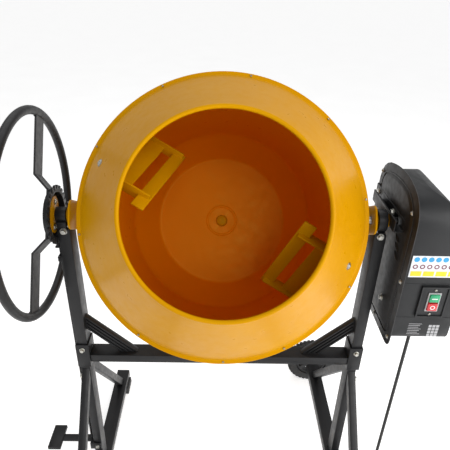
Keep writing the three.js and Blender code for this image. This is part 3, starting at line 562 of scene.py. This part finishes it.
def facing(centre, axis, turn=0.0):
    """Gives places round an axis through the centre: (x, height, z) in millimetres, height along the axis."""
    along = Vector(axis).normalized()
    side = Matrix.Rotation(turn, 3, along) @ along.orthogonal().normalized()
    other = along.cross(side)
    return lambda x, height, z: centre + (side * x + along * height + other * z) * MM


def hex_bolt(bm, centre, axis, across, washer, high, turn=0.2):
    """A bolt head standing on the centre, on a washer of the given radius if that isn't 0."""
    place = facing(centre, axis, turn)
    base = 0
    if washer:
        base = 1.6
        rim = [(0, -0.3), (washer, -0.3), (washer, 1.1), (washer - 0.5, base), (0, base)]
        spin_into(bm, rim, ROUND_STEPS, place)
    radius = across / 2 / math.cos(math.pi / 6)
    top = base + high
    head = [(0, base - 0.2), (radius, base - 0.2), (radius, top - 1), (radius * 0.92, top - 0.2), (0, top)]
    spin_into(bm, head, 6, place)


def pan_screw(bm, centre, axis, radius, washer=0):
    """A round screw head with a round recess, on a washer of the given radius if that isn't 0."""
    place = facing(centre, axis)
    if washer:
        rim = [(0, -0.3), (washer, -0.3), (washer, 0.8), (washer - 0.4, 1.2), (0, 1.2)]
        spin_into(bm, rim, ROUND_STEPS, place)
    base = 1.2 if washer else 0
    head = [
        (0, base - 0.3), (radius, base - 0.3), (radius, base + 0.9), (radius * 0.88, base + 1.7),
        (radius * 0.6, base + 2.3), (radius * 0.5, base + 2.3), (radius * 0.42, base + 1.0), (0, base + 1.0),
    ]
    spin_into(bm, head, 24, place)


def sweep(bm, points, radius, sides, looped=False):
    """A round tube along the points, given in metres.

    The radius is in millimetres, one number for all the points or one for each.
    """
    count = len(points)
    radii = radius if isinstance(radius, (list, tuple)) else [radius] * count
    side = None
    rings = []
    for i, point in enumerate(points):
        ahead = points[(i + 1) % count] if looped or i + 1 < count else point
        behind = points[i - 1] if looped or i else point
        along = (ahead - behind).normalized()
        side = along.orthogonal() if side is None else side - along * side.dot(along)
        side = side.normalized()
        other = along.cross(side)
        ring = []
        for k in range(sides):
            angle = 2 * math.pi * k / sides
            offset = side * math.cos(angle) + other * math.sin(angle)
            ring.append(bm.verts.new(point + offset * radii[i] * MM))
        rings.append(ring)
    pairs = list(zip(rings, rings[1:]))
    if looped:
        pairs.append((rings[-1], rings[0]))
    else:
        bm.faces.new(rings[0][::-1])
        bm.faces.new(rings[-1])
    for low, high in pairs:
        for k in range(sides):
            j = (k + 1) % sides
            bm.faces.new((low[k], low[j], high[j], high[k]))


def weld(bm, start, end, size):
    """A weld bead with its ripples between two places."""
    steps = max(6, round((end - start).length / MM / 1.6))
    points = [start.lerp(end, i / steps) for i in range(steps + 1)]
    sweep(bm, points, [size * (0.8 + 0.2 * math.sin(i * 2.1) ** 2) for i in range(steps + 1)], 8)


def block(bm, places):
    """A block over eight places, in the order in which slab lists them."""
    corners = [bm.verts.new(place) for place in places]
    for face in BLOCK_FACES:
        bm.faces.new([corners[i] for i in face])


def slab(bm, x0, x1, y0, y1, z0, z1):
    """A block between the given faces, in millimetres."""
    block(bm, [at(x, y, z) for x in (x0, x1) for y in (y0, y1) for z in (z0, z1)])


def carved(bm, cutter):
    """The first mesh with the second cut out of it."""
    things = []
    for name, source in (("work_body", bm), ("work_cutter", cutter)):
        bmesh.ops.recalc_face_normals(source, faces=source.faces)
        data = bpy.data.meshes.new(name)
        source.to_mesh(data)
        source.free()
        thing = bpy.data.objects.new(name, data)
        bpy.context.scene.collection.objects.link(thing)
        things.append(thing)
    modifier = things[0].modifiers.new("cut", "BOOLEAN")
    modifier.operation = "DIFFERENCE"
    modifier.solver = "EXACT"
    modifier.object = things[1]
    made = bmesh.new()
    made.from_object(things[0], bpy.context.evaluated_depsgraph_get())
    for thing in things:
        data = thing.data
        bpy.data.objects.remove(thing)
        bpy.data.meshes.remove(data)
    return made


# ---- drum ----

# In the names here and below, R is a radius and A a place along the drum's axis. X, Y and Z are places from
# the middle of the tilt axis. All are in millimetres.
SHEET = 2.5  # thickness of the drum's steel
MOUTH_R, MOUTH_A, BEAD = 174, 200, 4.5
SHOULDER_R, SHOULDER_A = 278, 50
FLANGE_R, FLANGE_A = 289, 41
BAND_A = FLANGE_A + 0.3  # where the cone's flange starts
BLADE_BOLT_R, BLADE_BOLT_A, BLADE_BOLT_TURNS = 252.6, 87.8, (157.8, -20.9)
SCREW_R, SCREW_TURNS = 284.6, (-124.8, -89.2, -64.3, -28, 8, 44, 80, 116, 152, 188)


def drum_front():
    """The cone, from its flange to the rolled bead of the mouth."""
    lip = MOUTH_R + BEAD
    outside = [
        (FLANGE_R, BAND_A), (FLANGE_R, BAND_A + SHEET), (SHOULDER_R + 2.6, BAND_A + SHEET),
        (SHOULDER_R, SHOULDER_A), (SHOULDER_R - 7, SHOULDER_A + 11), (lip + 3, MOUTH_A - 8),
    ]
    bead = []
    for i in range(15):
        angle = -0.45 * math.pi + 1.35 * math.pi * i / 14
        bead.append((lip + BEAD * math.cos(angle), MOUTH_A + BEAD * math.sin(angle)))
    inside = [
        (MOUTH_R + 1, MOUTH_A - 6), (SHOULDER_R - 9, SHOULDER_A + 8), (SHOULDER_R - SHEET, SHOULDER_A),
        (SHOULDER_R - SHEET, BAND_A),
    ]
    profile = outside + bead + inside
    after = len(outside) + len(bead)
    radii = {0: 1, 1: 1, 2: 2, 3: 4, 4: 9, 5: 4, after: 3, after + 1: 8, after + 2: 4}
    bm = spun(rounded(profile, radii), DRUM_STEPS, on_drum)
    piece("drum_front_shell", bm, "drum", "yellow_paint", None, ["drum_front"], 60)


def drum_bowl():
    """The bowl, with the pressed ring in its bottom and the hole of the spindle."""
    knuckle_r, knuckle_a, bottom_r, bottom_a, bowl_r = 218, -200, 165, -270, 257
    hole = 6.4
    profile = [
        (hole, bottom_a), (bottom_r - 3, bottom_a), (knuckle_r - 1, knuckle_a), (bowl_r, 10),
        (bowl_r, FLANGE_A - SHEET), (FLANGE_R, FLANGE_A - SHEET), (FLANGE_R, FLANGE_A),
        (bowl_r - SHEET, FLANGE_A), (bowl_r - SHEET, 10), (knuckle_r - SHEET - 1, knuckle_a + 1),
        (bottom_r - 3, bottom_a + SHEET), (40, bottom_a + SHEET), (38, bottom_a + SHEET + 1.2),
        (35.5, bottom_a + SHEET + 1.2), (33.5, bottom_a + SHEET), (hole, bottom_a + SHEET),
    ]
    radii = {1: 8, 2: 14, 3: 20, 4: 2, 5: 1, 6: 1, 7: 3, 8: 20, 9: 9, 10: 6, 11: 1, 12: 1, 13: 1, 14: 1}
    bm = spun(rounded(profile, radii), DRUM_STEPS, on_drum)
    piece("drum_bowl_shell", bm, "drum", "yellow_paint", BOWL_PAINTED_BOUNCE, ["drum_bowl"], 50)


drum_front()
drum_bowl()


def drum_screws():
    """The blades' bolts in the cone, and the screws that join the flanges of the cone and the bowl."""
    bm = bmesh.new()
    slope = math.atan2(SHOULDER_R - MOUTH_R - 10, MOUTH_A - SHOULDER_A)
    for angle in BLADE_BOLT_TURNS:
        turn = math.radians(angle)
        outward = Vector((math.cos(turn), 0, 0)) + ACROSS * math.sin(turn)
        normal = outward * math.cos(slope) + AXIS * math.sin(slope)
        centre = on_drum(BLADE_BOLT_R * math.cos(turn), BLADE_BOLT_A, BLADE_BOLT_R * math.sin(turn))
        pan_screw(bm, centre, normal, 5, 7.5)
    for angle in SCREW_TURNS:
        turn = math.radians(angle)
        centre = on_drum(SCREW_R * math.cos(turn), BAND_A + SHEET, SCREW_R * math.sin(turn))
        pan_screw(bm, centre, AXIS, 2.3)
        hex_bolt(bm, centre - AXIS * (2 * SHEET + 0.4) * MM, -AXIS, 4.6, 0, 2.5)
    piece("drum_screws", bm, "drum", None, ZINC)


drum_screws()

# ---- handwheel ----

RING_X, RING_R, RING_TUBE, RING_STEPS = -382, 208, 9, 120
HUB_X, SPOKE_X = -354.6, -381.6
SPOKE_HALF, SPOKE_WIDE = 2, 20  # half the bar's thickness and half its width


def handwheel():
    """The ring, its cranked spoke bar and the welds at the bar's ends."""
    bm = bmesh.new()
    turns = [2 * math.pi * i / RING_STEPS for i in range(RING_STEPS)]
    ring = [on_drum(RING_X, RING_R * math.cos(turn), RING_R * math.sin(turn)) for turn in turns]
    sweep(bm, ring, RING_TUBE, 20, True)
    half = [(HUB_X, 0), (HUB_X, 50), (SPOKE_X, 80), (SPOKE_X, RING_R - 5)]
    line = [Vector((x, -z)) for x, z in half[:0:-1]] + [Vector(p) for p in half]
    sides = ([], [])
    for i, point in enumerate(line):
        before = (point - line[i - 1]).normalized() if i else None
        after = (line[i + 1] - point).normalized() if i + 1 < len(line) else None
        along = ((before or after) + (after or before)).normalized()
        across = Vector((along.y, -along.x))
        reach = SPOKE_HALF / max(0.5, abs(along.dot(before or after)))
        for way, side in ((-1, sides[0]), (1, sides[1])):
            edge = point + across * way * reach
            side.append([bm.verts.new(on_drum(edge.x, a, edge.y)) for a in (-SPOKE_WIDE, SPOKE_WIDE)])
    for (a, b), (c, d) in zip(sides[0], sides[0][1:]):
        bm.faces.new((a, b, d, c))
    for (a, b), (c, d) in zip(sides[1], sides[1][1:]):
        bm.faces.new((a, c, d, b))
    for k in (0, 1):
        for i in range(len(line) - 1):
            near, far = sides[0][i][k], sides[0][i + 1][k]
            bm.faces.new((near, far, sides[1][i + 1][k], sides[1][i][k]))
    for i in (0, -1):
        bm.faces.new((*sides[0][i], *sides[1][i][::-1]))
    for way in (-1, 1):
        up = way * (RING_R - 9.5)
        weld(bm, on_drum(RING_X - 1, -SPOKE_WIDE, up), on_drum(RING_X - 1, SPOKE_WIDE, up), 3)
    piece("handwheel_shown", bm, "yoke", "black_paint", None, ["handwheel"], 34)


handwheel()

# ---- wheels ----

WHEEL_R, WHEEL_X, WHEEL_Z, WHEEL_Y, WHEEL_WIDE, RIM_R = 81.5, 325.5, -754.5, 347, 33, 52
TREAD_BLOCKS = 36  # in each of the two rows


def tyre(name, way):
    """A tyre with two rows of blocks round it."""
    bm = bmesh.new()
    place = facing(at(WHEEL_X, way * (WHEEL_Y + WHEEL_WIDE / 2), WHEEL_Z), (0, way, 0))
    half = WHEEL_WIDE / 2
    carcass = WHEEL_R - 2.2
    inner = RIM_R + 0.4
    profile = [
        (inner, -half + 1), (RIM_R + 6, -half + 0.4), (carcass - 9, -half + 0.3), (carcass - 1.5, -half + 4),
        (carcass, -half + 9), (carcass, half - 9), (carcass - 1.5, half - 4), (carcass - 9, half - 0.3),
        (RIM_R + 6, half - 0.4), (inner, half - 1),
    ]
    spin_into(bm, rounded(profile, {2: 3, 3: 4, 6: 4, 7: 3}), 96, place)
    rows = (
        ((-half + 2, -1.6), (-half + 4.5, -2.2)),
        ((1.6, half - 2), (2.2, half - 4.5)),
    )
    for row, (foot_edges, top_edges) in enumerate(rows):
        levels = ((carcass - 3.4, 0.34, foot_edges), (WHEEL_R - 0.1, 0.28, top_edges))
        for i in range(TREAD_BLOCKS):
            middle = 2 * math.pi * (i + row * 0.5) / TREAD_BLOCKS
            corners = []
            for radius, spread, edges in levels:
                for y in edges:
                    for share in (-spread, spread):
                        angle = middle + share * 2 * math.pi / TREAD_BLOCKS
                        corners.append(place(radius * math.cos(angle), y, radius * math.sin(angle)))
            block(bm, corners)
    piece(name + "_shown", bm, body_of[name], "tyre_rubber", None, [name], 34)


tyre("front_tyre", -1)
tyre("rear_tyre", 1)

# ---- the rest of the pieces, refined ----

FINE_NODES = ("crown_gear", "pinion")
PLAIN_NODES = (
    "left_yoke_arm", "right_yoke_arm", "yoke_back", "left_trunnion", "right_trunnion", "drum_bearing",
    "lock_disc", "blade_1", "blade_2", "pinion", "pinion_shaft", "large_pulley",
    "motor_rotor", "front_rim", "rear_rim", "latch_rod", "pedal", "left_post", "right_post",
    "left_lower_leg", "right_lower_leg", "left_sleeve", "right_sleeve", "left_gusset", "right_gusset",
    "left_ground_beam", "right_ground_beam", "left_front_brace", "left_rear_brace",
    "right_front_brace", "right_rear_brace", "crossbar", "left_bearing", "right_bearing", "axle",
    "front_foot", "rear_foot", "latch_guide", "box_back_plate", "box_cover",
    "hanger_bracket", "switch_plate", "start_button", "stop_button", "switch_body", "drive_belt",
    "motor_body", "motor_shelf", "cord_gland", "plug", "crown_gear",
)
for node in PLAIN_NODES:
    refined(node, 0.5 if node in FINE_NODES else 1.0, 1 if node == "crown_gear" else 2)
refined("drum_spindle", 0.6, 2, "yellow_paint")  # its nut is painted together with the bowl

# ---- bolts, screws and welds of the frame and the yoke ----

POST_X, POST_FACE, SLEEVE_FACE, BRACE_FACE = 325.5, 20, 23.2, 9
BEARING_BOLT_Z, SLEEVE_BOLT_Z, PEDAL_Z = -28, -350, -701
BRACE_TOP = (24, -432)  # y and z of the upper bolt of a brace
BRACE_FOOT = {-1: (274, -778), 1: (274, -733)}  # the right beam is higher, over the axle


def frame_bolts():
    """The bolts of the bearings, the sleeves, the braces, the pedal and the wheels."""
    bm = bmesh.new()
    for side in (-1, 1):
        outer = side * (POST_X + BRACE_FACE)
        for way in (-1, 1):
            front = (0, way, 0)
            hex_bolt(bm, at(side * POST_X, way * POST_FACE, BEARING_BOLT_Z), front, 10, 7.6, 4.6, 0.3 + side)
            hex_bolt(bm, at(side * POST_X, way * SLEEVE_FACE, SLEEVE_BOLT_Z), front, 8.5, 6.4, 4, 0.9 + side)
            for y, z in (BRACE_TOP, BRACE_FOOT[side]):
                hex_bolt(bm, at(outer, way * y, z), (side, 0, 0), 10, 0, 4.5, 0.2)
    for way in (-1, 1):
        hex_bolt(bm, at(-POST_X, way * 22, PEDAL_Z), (0, way, 0), 10, 0, 4, 0.4)
        hub_y = WHEEL_Y + WHEEL_WIDE + 1.5
        hex_bolt(bm, at(WHEEL_X, way * hub_y, WHEEL_Z), (0, way, 0), 13, 9, 5, 0.1)
    piece("frame_bolts", bm, "frame", None, ZINC)


def frame_welds():
    """The beads at the ends of the two gussets, along the posts and along the crossbar."""
    bm = bmesh.new()
    post = POST_X - 12.7
    for side in (-1, 1):
        for way in (-1, 1):
            weld(bm, at(side * post, way * 3.6, -262), at(side * post, way * 3.6, -301), 2)
            weld(bm, at(side * 198, way * 3.6, -368.4), at(side * 242, way * 3.6, -368.4), 2)
    piece("frame_welds", bm, "frame", "black_paint", smooth=60)


def yoke_bolts():
    """The screws of the lock disc and the trunnions, and the bolts of the back beam."""
    bm = bmesh.new()
    for z in (-26, 26):
        pan_screw(bm, on_drum(-345.05, 0, z), (1, 0, 0), 4.6, 6.4)
    for side in (-1, 1):
        for z in (-18, 18):
            hex_bolt(bm, on_drum(side * 200, -314.2, z), -AXIS, 10, 7.5, 4.5)
        for z in (-24, 24):
            pan_screw(bm, on_drum(side * 309.05, 27.5, z), (side, 0, 0), 2)
    piece("yoke_bolts", bm, "yoke", None, ZINC)


frame_bolts()
frame_welds()
yoke_bolts()

# ---- motor box details ----

PLATE_X, COVER_Y = 360, -84
PLATE_SCREWS = ((-63.2, 50.1), (-84, -94.7), (-84.5, -239.1), (129, 59), (129, -95), (100, -249), (10, -251))


def box_outline(inset):
    """The box's side view as (y, z) points."""
    front, back, bottom, corner = -98 + inset, 143 - inset, -262 + inset, 26 - inset * 0.4

    def curve(points, steps):
        """A Bezier curve with the given control points, without its end."""
        made = []
        for i in range(steps):
            t = i / steps
            level = [Vector(p) for p in points]
            while len(level) > 1:
                level = [a.lerp(b, t) for a, b in zip(level, level[1:])]
            made.append(tuple(level[0]))
        return made

    return (
        curve([(front, bottom + corner), (front, bottom), (front + corner, bottom)], 8)
        + [(front + corner, bottom)]
        + curve([(back - corner, bottom), (back, bottom), (back, bottom + corner)], 8)
        + [(back, bottom + corner)]
        + curve([(back, 20), (back, 68 - inset), (120, 89 - inset), (72, 98 - inset)], 12)
        + curve([(72, 98 - inset), (46, 104 - inset), (8, 108 - inset), (-26, 102 - inset)], 12)
        + curve([(-26, 102 - inset), (front + 14, 93 - inset), (front, 64 - inset), (front, 24)], 12)
        + [(front, 24)]
    )


def plate_emboss():
    """The pressed field of the back plate, cut out round the shaft, with three louvres and a raised rim."""
    bm = bmesh.new()
    rings = []
    for inset, x in ((24, PLATE_X + 0.2), (25, PLATE_X - 0.5), (29, PLATE_X - 2.5), (31, PLATE_X - 2.9)):
        rings.append([bm.verts.new(at(x, y, z)) for y, z in box_outline(inset)])
    bm.faces.new(rings[0])
    bm.faces.new(rings[-1][::-1])
    for low, high in zip(rings, rings[1:]):
        for i in range(len(low)):
            k = (i + 1) % len(low)
            bm.faces.new((low[i], high[i], high[k], low[k]))
    cutter = bmesh.new()
    spin_into(cutter, [(0, -8), (18, -8), (18, 8), (0, 8)], 40, facing(at(PLATE_X, 0, 0), (1, 0, 0)))
    bm = carved(bm, cutter)
    steps = [k / 10 - 0.5 for k in range(11)]
    thickness = [0.6 + 2.8 * math.cos(math.pi * k) ** 0.6 for k in steps]
    for i in range(3):
        y, z = -27 - 6 * i, -26 - 17 * i
        sweep(bm, [at(PLATE_X - 2, y + 22 * k, z + 14 * k) for k in steps], thickness, 12)
    sweep(bm, [at(PLATE_X - 0.2, y, z) for y, z in box_outline(21)], 1.3, 8, True)
    piece("box_plate_field", bm, "frame", "black_paint", smooth=34)


def box_screws():
    """The screws of both plates, the back plate's lower bolt and the hanger bracket's bolts."""
    bm = bmesh.new()
    for y, z in PLATE_SCREWS:
        pan_screw(bm, at(PLATE_X, y, z), (-1, 0, 0), 3.6, 5)
    hex_bolt(bm, at(PLATE_X - 2.9, -18, -184), (-1, 0, 0), 10, 7.5, 4.5, 0.5)
    for y, z in ((18.5, 11), (122, 11)):
        hex_bolt(bm, at(356.5, y, z), (-1, 0, 0), 10, 7, 4.5, 0.8)
    for x, z in ((435, -112.5), (435, -173.5)):
        pan_screw(bm, at(x, COVER_Y - 3.3, z), (0, -1, 0), 2.8)
    piece("box_screws", bm, "frame", None, ZINC)


def bar_frame(bm, xs, zs, wide, ys):
    """Four bars of the given width inside a rectangle's edges: two whole ones and two between them."""
    (x0, x1), (z0, z1) = xs, zs
    slab(bm, x0, x0 + wide, *ys, z0, z1)
    slab(bm, x1 - wide, x1, *ys, z0, z1)
    slab(bm, x0 + wide, x1 - wide, *ys, z1 - wide, z1)
    slab(bm, x0 + wide, x1 - wide, *ys, z0, z0 + wide)


def cover_lines():
    """The cover's two moulded lines and the switch plate's raised edge."""
    bm = bmesh.new()
    for z in (-99.5, -185.8):
        sweep(bm, [at(364, COVER_Y, z), at(488, COVER_Y, z)], 0.8, 8)
    bar_frame(bm, (406, 464), (-181, -104), 3, (COVER_Y - 5.5, COVER_Y - 3.1))
    piece("cover_lines", bm, "frame", "box_plastic", smooth=34)


def button_marks():
    """A pale frame round the buttons, a bar on one and a ring on the other."""
    bm = bmesh.new()
    bar_frame(bm, (422, 448), (-164.5, -118.5), 2.4, (COVER_Y - 5.6, COVER_Y - 3.2))
    piece("button_frame", bm, "frame", None, GREY_PRINT)
    front = COVER_Y - 9
    bar = bmesh.new()
    slab(bar, 429, 441, front - 0.3, front + 0.2, -131.6, -129.4)
    piece("start_mark", bar, "start_button", None, WHITE_INLAY)
    place = facing(at(435, front, -152.5), (0, -1, 0))
    ring = spun([(3.4, -0.2), (5, -0.2), (5, 0.3), (3.4, 0.3)], ROUND_STEPS, place)
    piece("stop_mark", ring, "stop_button", None, WHITE_INLAY)


def labels():
    """Plain shapes where the labels are: a pale panel with three rows, and bars printed on the cover."""
    sheet = bmesh.new()
    slab(sheet, 372, 478, COVER_Y - 0.5, COVER_Y + 0.2, -82.5, -32)
    piece("label_sheet", sheet, "frame", None, FOIL)
    front = COVER_Y - 0.5
    discs, rings, blocks = bmesh.new(), bmesh.new(), bmesh.new()
    for i in range(7):
        x = 381.5 + 14.4 * i
        for bm, inner, outer, z in ((discs, 0, 5.6, -40.5), (rings, 3, 5.2, -57.3)):
            profile = [(inner, -0.1), (outer, -0.1), (outer, 0.25), (inner, 0.25)]
            spin_into(bm, profile, ROUND_STEPS, facing(at(x, front, z), (0, -1, 0)))
    for i in range(4):
        x = 375 + 25.5 * i
        slab(blocks, x, x + 22, front - 0.3, front + 0.1, -79.5, -68)
    piece("label_discs", discs, "frame", None, BLUE_PRINT)
    piece("label_rings", rings, "frame", None, RED_PRINT)
    piece("label_blocks", blocks, "frame", None, YELLOW_PRINT)
    bars = bmesh.new()
    flat = (COVER_Y - 0.35, COVER_Y + 0.1)
    for i in range(7):
        z = -203 - 4.6 * i
        slab(bars, 400, 428 - 3 * (i % 3), *flat, z - 1, z)
    for i in range(4):
        for k in range(3):
            x, z = 444 + 8 * k, -206 - 8.4 * i
            slab(bars, x, x + 6.4, *flat, z - 6.6, z)
    piece("rating_bars", bars, "frame", None, GREY_PRINT)


plate_emboss()
box_screws()
cover_lines()
button_marks()
labels()

# ---- the lead's pieces and the end ----

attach(cord, "frame")
cord.data.materials.append(LOOKS["cord_rubber"])
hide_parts("cord", "cord_coil")
